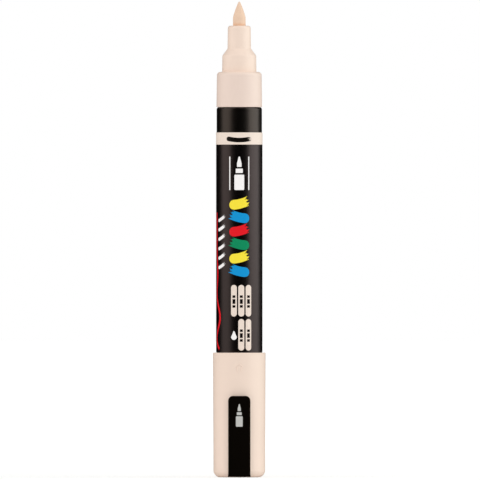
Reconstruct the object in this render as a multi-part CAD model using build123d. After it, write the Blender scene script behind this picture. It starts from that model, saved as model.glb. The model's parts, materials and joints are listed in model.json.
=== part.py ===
from build123d import *
from math import cos, pi, radians, sin, sqrt
import os

# A pump-valve paint marker that stands on the closed end of its cap, which is posted on the tail.
# Millimetres. The origin is the centre of the cap's closed end, +Z runs to the nib, and the clip
# is on the -Y side. Radii are stacked from the valve stem outwards, heights from the cap upwards.

# Fits
running_gap = 0.05
press_gap = 0.01
seat_gap = 0.05

# Valve
stem_diameter = 2.4
stem_flow_gap = 0.6
valve_head_overlap = 1.2
valve_head_gap = 0.64
valve_head_rim = 1.0
valve_lift_gap = 0.1
guide_pin_diameter = 2.0
guide_pin_engagement = 0.4
guide_boss_wall = 0.9
nib_travel = 2.2
travel_margin = 0.5
valve_seat_thickness = 3.0
valve_seat_cone_depth = 1.0
valve_cup_wall = 1.25
valve_cup_height = 12.4
valve_cup_floor = 1.4
flow_hole_diameter = 1.5
flow_hole_count = 4
flow_hole_inset = 0.15
spring_wire_diameter = 0.45
spring_pin_gap = 0.8
spring_turns = 6

# Nib
nib_diameter = 4.09
nib_shoulder_length = 2.7
nib_taper_length = 5.1
nib_tip_radius = 0.35
nib_tip_half_angle = 24.0
nib_tail_rounding = 0.3

# Nib holder
nose_wall = 1.585
nose_draft = 0.11
nose_length = 7.4
nose_rounding = 0.8
nose_root_rounding = 0.5
cone_length = 2.3
land_length = 5.25
land_draft = 0.06
land_rounding = 0.8
land_root_rounding = 0.1
collar_length = 11.4
collar_draft = 0.15
collar_stand = 0.045
collar_shoulder_rounding = 1.1
collar_foot_rounding = 0.15
spigot_wall = 1.29
spigot_tail = 5.0
spigot_lead = 0.4
snap_lip_height = 0.25
valve_bore_setback = 5.0
chamber_front_wall = 1.2
nib_rib_height = 1.1
nib_rib_width = 0.8
nib_rib_count = 4

# Barrel and label
barrel_wall = 1.13
barrel_length = 90.0
barrel_front_rounding = 0.75
bare_front_length = 8.2
label_thickness = 0.17
label_seam = 0.3
label_cap_gap = 0.2

# Tail plug and mixing ball
tail_flange_thickness = 1.25
tail_flange_rounding = 0.3
tail_stub_length = 9.3
tail_stub_rounding = 0.8
tail_stub_wall = 1.2
tail_stub_end = 1.3
tail_spigot_length = 6.4
ball_gap = 1.3

# Cap
cap_length = 40.25
cap_gap = 0.105
cap_wall = 1.05
cap_draft = 0.2
cap_end_wall = 1.4
cap_end_rounding = 2.1
cap_mouth_rounding = 0.25
cap_floor_rounding = 0.5

# Inner cap
inner_cap_length = 24.2
inner_cap_rim_width = 1.93
inner_cap_rim_height = 1.4
inner_cap_wall = 0.9
inner_cap_floor = 0.9
inner_cap_foot_gap = 0.6
inner_cap_lead = 0.3
inner_cap_rib_width = 1.0
inner_cap_rib_count = 6

# Clip
clip_width = 7.15
clip_length = 26.1
clip_thickness = 1.1
clip_gap = 0.45
clip_end_gap = 0.2
clip_corner_radius = 1.5
clip_edge_rounding = 0.12
clip_foot_flare = 0.1
clip_foot_height = 1.0
clip_root_height = 2.9
clip_root_gap = 0.25
clip_bead_radius = 0.6
clip_bead_length = 5.0
clip_bead_height = 1.95
clip_bead_depth = 0.9
clip_web_thickness = 0.8
clip_slot_gap = 0.125
clip_socket_wall = 0.9
clip_nub_radius = 1.2
clip_nub_length = 4.0
clip_nub_setback = 2.4
clip_nub_gap = 0.2

# Radii, from the valve stem outwards
stem_radius = stem_diameter / 2
guide_pin_radius = guide_pin_diameter / 2
seat_hole_radius = stem_radius + stem_flow_gap
valve_head_radius = seat_hole_radius + valve_head_overlap
cup_inner_radius = valve_head_radius + valve_head_gap
cup_outer_radius = cup_inner_radius + valve_cup_wall
valve_bore_radius = cup_outer_radius + press_gap
spigot_radius = valve_bore_radius + spigot_wall
barrel_bore_radius = spigot_radius + press_gap
barrel_radius = barrel_bore_radius + barrel_wall
label_radius = barrel_radius + label_thickness
collar_foot_radius = barrel_radius + collar_stand
collar_top_radius = collar_foot_radius - collar_draft
cap_bore_radius = collar_foot_radius + cap_gap
cap_mouth_radius = cap_bore_radius + cap_wall
cap_end_radius = cap_mouth_radius - cap_draft
inner_cap_bore_radius = cap_bore_radius - inner_cap_rim_width
inner_cap_outer_radius = inner_cap_bore_radius + inner_cap_wall
inner_cap_rim_radius = cap_bore_radius - press_gap
tail_stub_radius = inner_cap_bore_radius - running_gap
tail_core_radius = tail_stub_radius - tail_stub_wall
ball_radius = tail_core_radius - ball_gap
land_foot_radius = inner_cap_bore_radius - press_gap
land_top_radius = land_foot_radius - land_draft
nib_radius = nib_diameter / 2
nib_bore_radius = nib_radius + running_gap
nose_front_radius = nib_bore_radius + nose_wall
nose_root_radius = nose_front_radius + nose_draft
chamber_radius = nib_bore_radius + nib_rib_height
spring_wire_radius = spring_wire_diameter / 2
spring_radius = guide_pin_radius + spring_pin_gap + spring_wire_radius

# Heights, from the cap's closed end upwards
clip_socket_radius = clip_bead_radius + running_gap
clip_boss_top = clip_bead_height + clip_socket_radius + clip_socket_wall
inner_cap_base = clip_boss_top + inner_cap_foot_gap
inner_cap_rim = inner_cap_base + inner_cap_length
tail_shoulder = inner_cap_rim + seat_gap
tail_stub_bottom = tail_shoulder - tail_stub_length
tail_core_floor = tail_stub_bottom + tail_stub_end
barrel_tail = tail_shoulder + tail_flange_thickness
tail_spigot_top = barrel_tail + tail_spigot_length
barrel_front = barrel_tail + barrel_length
label_tail = cap_length + label_cap_gap
label_front = barrel_front - bare_front_length
collar_top = barrel_front + collar_length
land_top = collar_top + land_length
nose_root = land_top + cone_length
nose_front = nose_root + nose_length
nib_shoulder = nose_front + nib_shoulder_length
nib_tip = nib_shoulder + nib_taper_length
chamber_top = land_top - chamber_front_wall
valve_bore_top = collar_top - valve_bore_setback
valve_seat_bottom = valve_bore_top - valve_seat_thickness
valve_seat_throat = valve_seat_bottom + valve_seat_cone_depth
cup_bottom = valve_seat_bottom - valve_cup_height
cup_floor_top = cup_bottom + valve_cup_floor
guide_pin_end = cup_floor_top - guide_pin_engagement
guide_boss_end = guide_pin_end - nib_travel - travel_margin
spigot_end = cup_bottom - spigot_tail
nib_tail = valve_bore_top + nib_travel + travel_margin
valve_head_top = valve_seat_throat - valve_lift_gap + seat_hole_radius - stem_radius
valve_head_edge = valve_head_top - (valve_head_radius - stem_radius)
valve_head_bottom = valve_head_edge - valve_head_rim
spring_start = cup_floor_top + seat_gap + spring_wire_radius
spring_end = valve_head_bottom - seat_gap - spring_wire_radius
spring_pitch = (spring_end - spring_start) / spring_turns
ball_rest = tail_core_floor + seat_gap + ball_radius
ball_travel = guide_boss_end - travel_margin - ball_radius - ball_rest

# Clip places along Y, from the cap's axis to the -Y side
clip_bead_y = -(cap_end_radius - clip_bead_depth)
clip_inner_y = -(cap_mouth_radius + clip_gap)
clip_face_y = clip_inner_y - clip_thickness
clip_top = clip_end_gap + clip_length


def turned(*corners):
    """Turn an outline about Z. A corner is (radius, height) or (radius, height, rounding)."""
    points = [corner[:2] for corner in corners]
    roundings = [corner[2] if len(corner) == 3 else 0 for corner in corners]
    outline = FilletPolyline(*points, radius=roundings, close=True)
    return revolve(Plane.XZ * make_face(outline), axis=Axis.Z)


def rod_along_x(radius, length, y, z):
    """A round rod along X whose middle is at (0, y, z)."""
    return Pos(0, y, z) * Rot(0, 90, 0) * Cylinder(radius, length)


def block(x_size, y_from, y_to, z_from, z_to):
    """A block that is centred on X and runs between the given places along Y and Z."""
    middle = Pos(0, (y_from + y_to) / 2, (z_from + z_to) / 2)
    return middle * Box(x_size, abs(y_to - y_from), z_to - z_from)


def column(radius, z_from, z_to):
    """A round column on the axis between two heights."""
    return Pos(0, 0, (z_from + z_to) / 2) * Cylinder(radius, z_to - z_from)


def fins(count, width, inner, outer, z_from, z_to):
    """Flat fins spaced evenly round the axis, from one radius out to another."""
    fin = Pos((inner + outer) / 2, 0, (z_from + z_to) / 2) * Box(outer - inner, width, z_to - z_from)
    return [Rot(0, 0, index * 360 / count) * fin for index in range(count)]


def make_cap_shell():
    """The outer cap, with the socket at its closed end that the clip snaps into."""
    shell = turned(
        (0, 0),
        (cap_end_radius, 0, cap_end_rounding),
        (cap_mouth_radius, cap_length, cap_mouth_rounding),
        (cap_bore_radius, cap_length, cap_mouth_rounding),
        (cap_bore_radius, cap_end_wall, cap_floor_rounding),
        (0, cap_end_wall),
    )
    socket_length = clip_bead_length + 2 * running_gap
    boss_width = socket_length + 2 * clip_socket_wall
    boss_inner_y = clip_bead_y + clip_socket_radius + clip_socket_wall
    boss = block(boss_width, -cap_mouth_radius, boss_inner_y, cap_end_wall / 2, clip_boss_top)
    boss &= column(cap_bore_radius + cap_wall / 2, 0, cap_length)
    slot_half = clip_web_thickness / 2 + clip_slot_gap
    slot_low = clip_bead_height - slot_half
    slot = block(socket_length, clip_bead_y, clip_face_y, slot_low, slot_low + 2 * slot_half)
    socket = rod_along_x(clip_socket_radius, socket_length, clip_bead_y, clip_bead_height)
    return shell + boss - slot - socket


def make_inner_cap():
    """The sealing cup inside the cap, pressed in by its rim and its ribs."""
    cup = turned(
        (0, inner_cap_base),
        (inner_cap_outer_radius, inner_cap_base, inner_cap_floor / 2),
        (inner_cap_outer_radius, inner_cap_rim - inner_cap_rim_height),
        (inner_cap_rim_radius, inner_cap_rim - inner_cap_rim_height),
        (inner_cap_rim_radius, inner_cap_rim),
        (inner_cap_bore_radius, inner_cap_rim, inner_cap_lead),
        (inner_cap_bore_radius, inner_cap_base + inner_cap_floor, inner_cap_floor / 2),
        (0, inner_cap_base + inner_cap_floor),
    )
    rib_root = inner_cap_outer_radius - inner_cap_wall / 2
    rib_low = inner_cap_base + inner_cap_floor
    ribs = fins(
        inner_cap_rib_count,
        inner_cap_rib_width,
        rib_root,
        cap_mouth_radius,
        rib_low,
        inner_cap_rim - inner_cap_rim_height / 2,
    )
    envelope = column(inner_cap_rim_radius, inner_cap_base, inner_cap_rim)
    for rib in ribs:
        cup += rib & envelope
    return cup


def make_cap_clip():
    """The pocket clip: a flat plate, its root, and the bead that snaps into the cap."""
    half = clip_width / 2
    foot_half = half + clip_foot_flare
    foot_top = clip_end_gap + clip_foot_height
    outline = FilletPolyline(
        (-foot_half, clip_end_gap),
        (foot_half, clip_end_gap),
        (half, foot_top),
        (half, clip_top),
        (-half, clip_top),
        (-half, foot_top),
        radius=[0, 0, 0, clip_corner_radius, clip_corner_radius, 0],
        close=True,
    )
    plate = Pos(0, clip_inner_y, 0) * extrude(Plane.XZ * make_face(outline), clip_thickness)
    plate = fillet(plate.faces().sort_by(Axis.Y)[0].edges(), clip_edge_rounding)
    root_face_y = -(cap_mouth_radius + clip_root_gap)
    root_top = clip_end_gap + clip_root_height
    root = block(clip_width, clip_inner_y, -cap_end_radius / 2, clip_end_gap, root_top)
    root -= column(-root_face_y, -cap_length, cap_length)
    web_low = clip_bead_height - clip_web_thickness / 2
    web = block(clip_bead_length, clip_inner_y, clip_bead_y, web_low, web_low + clip_web_thickness)
    bead = rod_along_x(clip_bead_radius, clip_bead_length, clip_bead_y, clip_bead_height)
    nub_crest_y = -(cap_mouth_radius + clip_nub_gap)
    nub = rod_along_x(
        clip_nub_radius,
        clip_nub_length,
        nub_crest_y - clip_nub_radius,
        clip_top - clip_nub_setback,
    )
    nub &= block(clip_width, clip_inner_y - clip_thickness / 2, 0, 0, clip_top)
    return plate + root + web + bead + nub


def make_tail_plug():
    """The plug in the barrel's tail, with the hollow stub that the cap posts on."""
    return turned(
        (0, tail_stub_bottom),
        (tail_stub_radius, tail_stub_bottom, tail_stub_rounding),
        (tail_stub_radius, tail_shoulder),
        (barrel_radius, tail_shoulder, tail_flange_rounding),
        (barrel_radius, barrel_tail),
        (spigot_radius, barrel_tail),
        (spigot_radius, tail_spigot_top, spigot_lead),
        (tail_core_radius, tail_spigot_top, spigot_lead),
        (tail_core_radius, tail_core_floor, tail_stub_rounding),
        (0, tail_core_floor),
    )


def make_mixing_ball():
    """The loose ball that stirs the paint, at rest on the floor of the tail plug."""
    return Pos(0, 0, ball_rest) * Sphere(ball_radius)


def make_barrel():
    """The tube that holds the paint."""
    return turned(
        (barrel_bore_radius, barrel_tail),
        (barrel_radius, barrel_tail),
        (barrel_radius, barrel_front, barrel_front_rounding),
        (barrel_bore_radius, barrel_front),
    )


def make_barrel_label():
    """The printed film wrapped round the barrel, with its butt seam at the back."""
    film = turned(
        (barrel_radius, label_tail),
        (label_radius, label_tail),
        (label_radius, label_front),
        (barrel_radius, label_front),
    )
    return film - block(label_seam, 0, label_radius + barrel_wall, label_tail, label_front)


def make_nib_holder():
    """The stepped front moulding, with its spigot, valve bore, nib chamber and nib ribs."""
    lip_top = cup_bottom - seat_gap
    chamber_throat = chamber_top + chamber_radius - nib_bore_radius
    holder = turned(
        (collar_foot_radius, barrel_front, collar_foot_rounding),
        (collar_top_radius, collar_top, collar_shoulder_rounding),
        (land_foot_radius, collar_top, land_root_rounding),
        (land_top_radius, land_top, land_rounding),
        (nose_root_radius, nose_root, nose_root_rounding),
        (nose_front_radius, nose_front, nose_rounding),
        (nib_bore_radius, nose_front),
        (nib_bore_radius, chamber_throat),
        (chamber_radius, chamber_top),
        (chamber_radius, valve_bore_top),
        (valve_bore_radius, valve_bore_top),
        (valve_bore_radius, lip_top),
        (valve_bore_radius - snap_lip_height, lip_top - snap_lip_height),
        (valve_bore_radius, lip_top - 3 * snap_lip_height),
        (valve_bore_radius, spigot_end),
        (spigot_radius, spigot_end, spigot_lead),
        (spigot_radius, barrel_front),
    )
    rib_outer = chamber_radius + nib_rib_width / 2
    for rib in fins(nib_rib_count, nib_rib_width, nib_bore_radius, rib_outer, nib_tail, chamber_top):
        holder += rib
    return holder


def make_brush_nib():
    """The soft tip: a rod with an ogive point that ends in a small dome."""
    half_angle = radians(nib_tip_half_angle)
    dome_centre = nib_tip - nib_tip_radius
    dome_angles = (half_angle, (half_angle + pi / 2) / 2, pi / 2)
    dome = [(nib_tip_radius * cos(a), dome_centre + nib_tip_radius * sin(a)) for a in dome_angles]
    rod = Polyline((nib_radius, nib_shoulder), (nib_radius, nib_tail), (0, nib_tail), (0, nib_tip))
    point = ThreePointArc((0, nib_tip), dome[1], dome[0])
    ogive = TangentArc(dome[0], (nib_radius, nib_shoulder), tangent=(sin(half_angle), -cos(half_angle)))
    nib = revolve(Plane.XZ * make_face([rod, point, ogive]), axis=Axis.Z)
    tail_edge = nib.edges().filter_by(GeomType.CIRCLE).sort_by(Axis.Z)[0]
    return fillet(tail_edge, nib_tail_rounding)


def make_valve_seat():
    """The soft ring that the valve head closes against from below."""
    seat_radius = valve_bore_radius - press_gap
    return turned(
        (seat_hole_radius, valve_bore_top),
        (seat_hole_radius, valve_seat_throat),
        (seat_hole_radius + valve_seat_cone_depth, valve_seat_bottom),
        (seat_radius, valve_seat_bottom),
        (seat_radius, valve_bore_top),
    )


def make_valve_plunger():
    """The stem that the nib pushes, with its conical head and its guide pin."""
    return turned(
        (0, nib_tail),
        (stem_radius, nib_tail),
        (stem_radius, valve_head_top),
        (valve_head_radius, valve_head_edge),
        (valve_head_radius, valve_head_bottom),
        (guide_pin_radius, valve_head_bottom),
        (guide_pin_radius, guide_pin_end, guide_pin_engagement),
        (0, guide_pin_end),
    )


def make_valve_cup():
    """The cage under the valve that carries the spring and lets paint in through its floor."""
    guide_radius = guide_pin_radius + running_gap
    cup = turned(
        (cup_outer_radius, valve_seat_bottom),
        (cup_outer_radius, cup_bottom),
        (guide_radius + guide_boss_wall, cup_bottom),
        (guide_radius + guide_boss_wall, guide_boss_end),
        (guide_radius, guide_boss_end),
        (guide_radius, cup_floor_top),
        (cup_inner_radius, cup_floor_top),
        (cup_inner_radius, valve_seat_bottom),
    )
    hole_circle = cup_inner_radius - flow_hole_inset - flow_hole_diameter / 2
    for place in PolarLocations(hole_circle, flow_hole_count):
        cup -= place * column(flow_hole_diameter / 2, guide_boss_end, valve_seat_bottom)
    return cup


def helix_point(turn):
    """The middle of the spring's wire after so many turns."""
    angle = 2 * pi * turn
    height = spring_start + spring_pitch * turn
    return Vector(spring_radius * cos(angle), spring_radius * sin(angle), height)


def helix_direction(turn):
    """The way the spring's wire runs after so many turns."""
    angle = 2 * pi * turn
    around = 2 * pi * spring_radius
    return Vector(-around * sin(angle), around * cos(angle), spring_pitch).normalized()


def biarc(start, start_way, end, end_way):
    """Two arcs that meet smoothly and join two points of the wire in the given directions."""
    chord = end - start
    ways = start_way + end_way
    square = 2 * start_way.dot(end_way) - 2
    linear = -2 * chord.dot(ways)
    reach = (-linear - sqrt(linear**2 - 4 * square * chord.dot(chord))) / (2 * square)
    first_corner = start + start_way * reach
    second_corner = end - end_way * reach
    middle = (first_corner + second_corner) * 0.5
    middle_way = (second_corner - first_corner).normalized()
    return [TangentArc(start, middle, tangent=start_way), TangentArc(middle, end, tangent=middle_way)]


def make_valve_spring():
    """The coil spring between the valve cup's floor and the valve head."""
    quarters = [index / 4 for index in range(4 * spring_turns + 1)]
    arcs = []
    for turn, next_turn in zip(quarters, quarters[1:]):
        arcs += biarc(
            helix_point(turn),
            helix_direction(turn),
            helix_point(next_turn),
            helix_direction(next_turn),
        )
    start_plane = Plane(origin=helix_point(0), z_dir=helix_direction(0))
    return sweep(start_plane * Circle(spring_wire_radius), path=Wire(arcs))


def spring_least_gap():
    """The least clear distance between the spring's turns, measured on points of the wire."""
    steps_per_turn = 24
    wire = [helix_point(index / steps_per_turn) for index in range(spring_turns * steps_per_turn + 1)]
    apart = steps_per_turn // 2
    pairs = ((a, b) for index, a in enumerate(wire) for b in wire[index + apart:])
    return min((a - b).length for a, b in pairs) - spring_wire_diameter


pieces = {
    "cap_shell": make_cap_shell,
    "inner_cap": make_inner_cap,
    "cap_clip": make_cap_clip,
    "tail_plug": make_tail_plug,
    "mixing_ball": make_mixing_ball,
    "barrel": make_barrel,
    "barrel_label": make_barrel_label,
    "nib_holder": make_nib_holder,
    "brush_nib": make_brush_nib,
    "valve_seat": make_valve_seat,
    "valve_plunger": make_valve_plunger,
    "valve_cup": make_valve_cup,
    "valve_spring": make_valve_spring,
}

os.makedirs("parts", exist_ok=True)
for name, make in pieces.items():
    export_step(make(), f"parts/{name}.step")

print(f"overall length {nib_tip:.2f}, cap {2 * cap_mouth_radius:.2f} across")
print(f"label {2 * label_radius:.2f} across")
print(f"label from {label_tail:.2f} to {label_front:.2f}, tail stub ends at {tail_stub_bottom:.2f}")
print(f"clip bead at y {clip_bead_y:.3f} z {clip_bead_height:.3f}, clip face at y {clip_face_y:.3f}")
print(f"ball travel {ball_travel:.2f}, spring stands on {cup_floor_top:.2f}")
print(f"inner cap floor at {inner_cap_base + inner_cap_floor:.2f}, rim at {inner_cap_rim:.2f}")
print(f"valve spring least gap to itself {spring_least_gap():.2f}")
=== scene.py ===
import json
from math import cos, pi, radians, sin, sqrt, tan, tau

import bmesh
import bpy
from bpy.props import FloatProperty, FloatVectorProperty, IntProperty, PointerProperty
from mathutils import Color, Matrix, Vector


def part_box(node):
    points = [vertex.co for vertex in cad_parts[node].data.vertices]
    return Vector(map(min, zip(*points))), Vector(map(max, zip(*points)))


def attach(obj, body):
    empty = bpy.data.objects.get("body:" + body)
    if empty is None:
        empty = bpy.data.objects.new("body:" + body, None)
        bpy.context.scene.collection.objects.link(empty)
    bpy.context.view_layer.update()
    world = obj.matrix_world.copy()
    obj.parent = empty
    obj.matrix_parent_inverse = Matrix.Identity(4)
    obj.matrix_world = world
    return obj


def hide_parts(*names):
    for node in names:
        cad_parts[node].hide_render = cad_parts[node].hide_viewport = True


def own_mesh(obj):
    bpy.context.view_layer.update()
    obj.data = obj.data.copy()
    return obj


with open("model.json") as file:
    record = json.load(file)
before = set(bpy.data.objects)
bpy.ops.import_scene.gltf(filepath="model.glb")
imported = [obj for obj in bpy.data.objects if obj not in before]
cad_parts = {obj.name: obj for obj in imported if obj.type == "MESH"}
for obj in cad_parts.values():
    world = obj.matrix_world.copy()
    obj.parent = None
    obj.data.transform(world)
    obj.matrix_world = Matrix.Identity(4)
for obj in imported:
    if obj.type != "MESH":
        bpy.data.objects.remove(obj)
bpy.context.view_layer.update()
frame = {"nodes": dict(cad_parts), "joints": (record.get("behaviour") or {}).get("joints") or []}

bl_info = {
    "name": "Paint Marker",
    "version": (1, 0, 0),
    "blender": (4, 5, 0),
    "location": "3D View > Sidebar > Paint Marker",
    "description": "Models and finishes the pieces of a pump-valve paint marker on its measured frame",
    "category": "Add Mesh",
}

MM = 0.001
# Places closer than this are one place
WELD = 0.5e-6
# A straight stretch of an outline is kept flat up to this distance from its rounded ends
HOLD = 0.06 * MM
SHARP_ANGLE = radians(32)
# A face looks to a side if its normal leans more than this to it
FACING = 0.2
UPRIGHT = Matrix.Rotation(pi / 2, 4, "X")
# How finely round shapes are divided
TURN_STEPS = 160
ARC_STEPS = 24
CORNER_STEPS = 8
DISC_STEPS = 48
PLATE_STEPS = 5
COIL_STEPS = 40
WIRE_STEPS = 16
# The black plastics reflect warm light more than cold light
TUBE_GLOSS = (1.0, 0.81, 0.74, 1.0)
FILM_GLOSS = (1.0, 0.77, 0.78, 1.0)
CLIP_GLOSS = (1.0, 0.7, 0.5, 1.0)
# Colours of the light panels and of all other light
LEFT_COLOUR = (1.0, 0.97, 0.89)
RIGHT_COLOUR = (0.95, 1.0, 0.95)
WHITE = (1.0, 1.0, 1.0, 1.0)
# Shares of the marker sign's height: top of its barrel, its collar, its nib's foot and shoulder
SIGN_HEIGHTS = (0.46, 0.51, 0.64, 0.69, 0.8)
# Shares of its width: barrel, collar, nib and point, and the rounding of the first three
SIGN_WIDTHS = (1.0, 0.72, 0.46, 0.12)
SIGN_ROUNDINGS = (0.1, 0.05, 0.04)
# Where the dashes on a colour patch start and end, as shares of its height
DASHES = ((0.28, 0.36), (0.4, 0.55), (0.59, 0.67))
# How much a drop is narrowed at its point
DROP_PINCH = 0.5
# Hairs of a brush, and the shares by which its stroke gets narrower and bows
BRUSH_HAIRS = 24
BRUSH_FADE = 0.07
STROKE_BOW = 0.06
# How far ahead a stroke looks for its heading, as a share of its length
LOOK_AHEAD = 0.01
SENSOR_WIDTH = 36.0


# Settings


def size(name, description, millimetres):
    """A length that the sidebar shows in the scene's own unit."""
    return FloatProperty(name=name, description=description, default=millimetres * MM, unit="LENGTH")


def angle(name, description, degrees):
    """An angle that the sidebar shows in degrees."""
    return FloatProperty(name=name, description=description, default=radians(degrees), subtype="ANGLE")


def level(name, description, default):
    """A brightness or a share, which has no unit."""
    return FloatProperty(name=name, description=description, default=default)


def count(name, description, default):
    """A whole number of like things."""
    return IntProperty(name=name, description=description, default=default)


def tint(name, description, red, green, blue):
    """A colour as a screen shows it, from 0 to 255."""
    default = (red / 255, green / 255, blue / 255)
    return FloatVectorProperty(
        name=name, description=description, default=default, min=0.0, max=1.0, subtype="COLOR_GAMMA"
    )


class CapSizes(bpy.types.PropertyGroup):
    """Sizes of the cap's shell, its sealing cup and the arrow on it."""

    draft: size("Draft", "How much narrower the closed end is than the mouth", 0.2)
    wall: size("Wall", "Thickness of the shell at its mouth", 1.05)
    end_wall: size("End wall", "Thickness of the closed end", 1.4)
    end_rounding: size("End rounding", "Radius of the edge of the closed end", 2.1)
    lip_rounding: size("Lip rounding", "Radius of the edges of the mouth", 0.25)
    floor_rounding: size("Floor rounding", "Radius of the inner corner of the closed end", 0.5)
    boss_width: size("Boss width", "Width of the block inside that holds the clip", 6.9)
    boss_reach: size("Boss reach", "From the axis to the face of that block", 5.88)
    boss_top: size("Boss top", "Height of that block", 3.5)
    slot_width: size("Slot width", "Width of the slot that the clip snaps into", 5.1)
    slot_reach: size("Slot reach", "From the axis to the end of that slot", 6.73)
    slot_low: size("Slot foot", "Height of the lower side of that slot", 1.3)
    slot_high: size("Slot top", "Height of the upper side of that slot", 2.6)
    cup_wall: size("Cup wall", "Thickness of the sealing cup", 0.9)
    cup_radius: size("Cup radius", "Outer radius of the sealing cup under its flange", 6.45)
    cup_rounding: size("Cup rounding", "Radius of the edge of the sealing cup's closed end", 0.45)
    cup_flange: size("Cup flange", "Height of the flange at the sealing cup's mouth", 1.4)
    cup_lip: size("Cup lip", "Radius of the inner edge of the sealing cup's mouth", 0.3)
    cup_rib: size("Cup rib", "Width of each rib round the sealing cup", 1.0)
    cup_ribs: count("Cup ribs", "Number of ribs round the sealing cup", 6)
    arrow_width: size("Arrow width", "Width of the raised arrow near the mouth", 2.6)
    arrow_height: size("Arrow height", "Height of the raised arrow near the mouth", 2.9)
    arrow_head: size("Arrow head", "Height of the arrow's point", 1.305)
    arrow_shaft: size("Arrow shaft", "Width of the arrow's shaft over its two legs", 1.664)
    arrow_setback: size("Arrow setback", "From the mouth down to the arrow's point", 3.3)
    arrow_line: size("Arrow line", "Width of the arrow's raised line at its foot", 0.4)
    arrow_slope: size("Arrow slope", "Width of the sloped sides of that line", 0.13)
    arrow_relief: size("Arrow relief", "How far the arrow stands off the cap", 0.16)


class BarrelSizes(bpy.types.PropertyGroup):
    """Sizes of the barrel, its tail plug and its label."""

    bore: size("Bore", "Inner radius of the barrel", 6.2)
    front_rounding: size("Front rounding", "Radius of the barrel's front edge", 0.75)
    fit: size("Fit", "Clearance of a plug in the barrel", 0.01)
    label_seam: size("Label seam", "Gap where the label's edges meet at the back", 0.3)
    stub_radius: size("Stub radius", "Radius of the stub that the cap posts on", 5.5)
    stub_rounding: size("Stub rounding", "Radius of the edge of the stub's end", 0.8)
    stub_wall: size("Stub wall", "Thickness of the stub", 1.2)
    stub_end: size("Stub end", "Thickness of the stub's end", 1.3)
    flange: size("Flange", "Height of the plug's flange behind the barrel", 1.25)
    flange_rounding: size("Flange rounding", "Radius of the flange's back edge", 0.3)
    plug_rounding: size("Plug rounding", "Radius of the edges of the plug's inner end", 0.4)


class HolderSizes(bpy.types.PropertyGroup):
    """Sizes of the nib holder."""

    collar_height: size("Collar height", "Height of the collar in front of the barrel", 11.4)
    collar_draft: size("Collar draft", "How much narrower the collar is at its front", 0.15)
    collar_foot: size("Collar foot", "Radius of the collar's back edge", 0.15)
    collar_rounding: size("Collar rounding", "Radius of the collar's front edge", 1.1)
    land_radius: size("Land radius", "Radius of the sealing land at its back", 5.54)
    land_draft: size("Land draft", "How much narrower the land is at its front", 0.06)
    land_height: size("Land height", "Height of the sealing land", 5.25)
    land_rounding: size("Land rounding", "Radius of the land's front edge", 0.8)
    land_root: size("Land root", "Radius of the hollow where the land meets the collar", 0.1)
    cone_height: size("Cone height", "Height of the cone between the land and the nose", 2.3)
    cone_rounding: size("Cone rounding", "Radius of the hollow where the cone meets the nose", 0.5)
    nose_radius: size("Nose radius", "Radius of the nose at its back", 3.79)
    nose_draft: size("Nose draft", "How much narrower the nose is at its front", 0.11)
    nose_rounding: size("Nose rounding", "Radius of the nose's front edge", 0.8)
    nib_fit: size("Nib fit", "Clearance of the nib in its bore", 0.05)
    chamber_radius: size("Chamber radius", "Radius of the paint chamber behind the bore", 3.195)
    chamber_height: size("Chamber height", "From the valve seat to the chamber's front", 9.05)
    valve_fit: size("Valve fit", "Clearance of the valve in its bore", 0.01)
    bead_depth: size("Bead depth", "How far the bead that holds the valve stands in", 0.25)
    bead_foot: size("Bead foot", "Height of the bead's back slope", 0.5)
    spigot_rounding: size("Spigot rounding", "Radius of the edge of the spigot in the barrel", 0.4)
    rib_width: size("Rib width", "Width of each rib that guides the nib", 0.8)
    rib_depth: size("Rib depth", "How far each rib is set into the chamber's wall", 0.4)
    ribs: count("Ribs", "Number of ribs that guide the nib", 4)


class NibSizes(bpy.types.PropertyGroup):
    """Sizes of the nib and of the spring behind it."""

    taper: size("Taper", "Height of the nib's tapered point", 5.1)
    point: size("Point", "Radius of the nib's rounded tip", 0.35)
    point_angle: angle("Point angle", "Between the nib's side and its axis where the tip begins", 24)
    tail_rounding: size("Tail rounding", "Radius of the edge of the nib's hidden end", 0.3)
    wire: size("Wire", "Thickness of the spring's wire", 0.45)
    turns: count("Turns", "Number of turns of the spring", 6)


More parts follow.
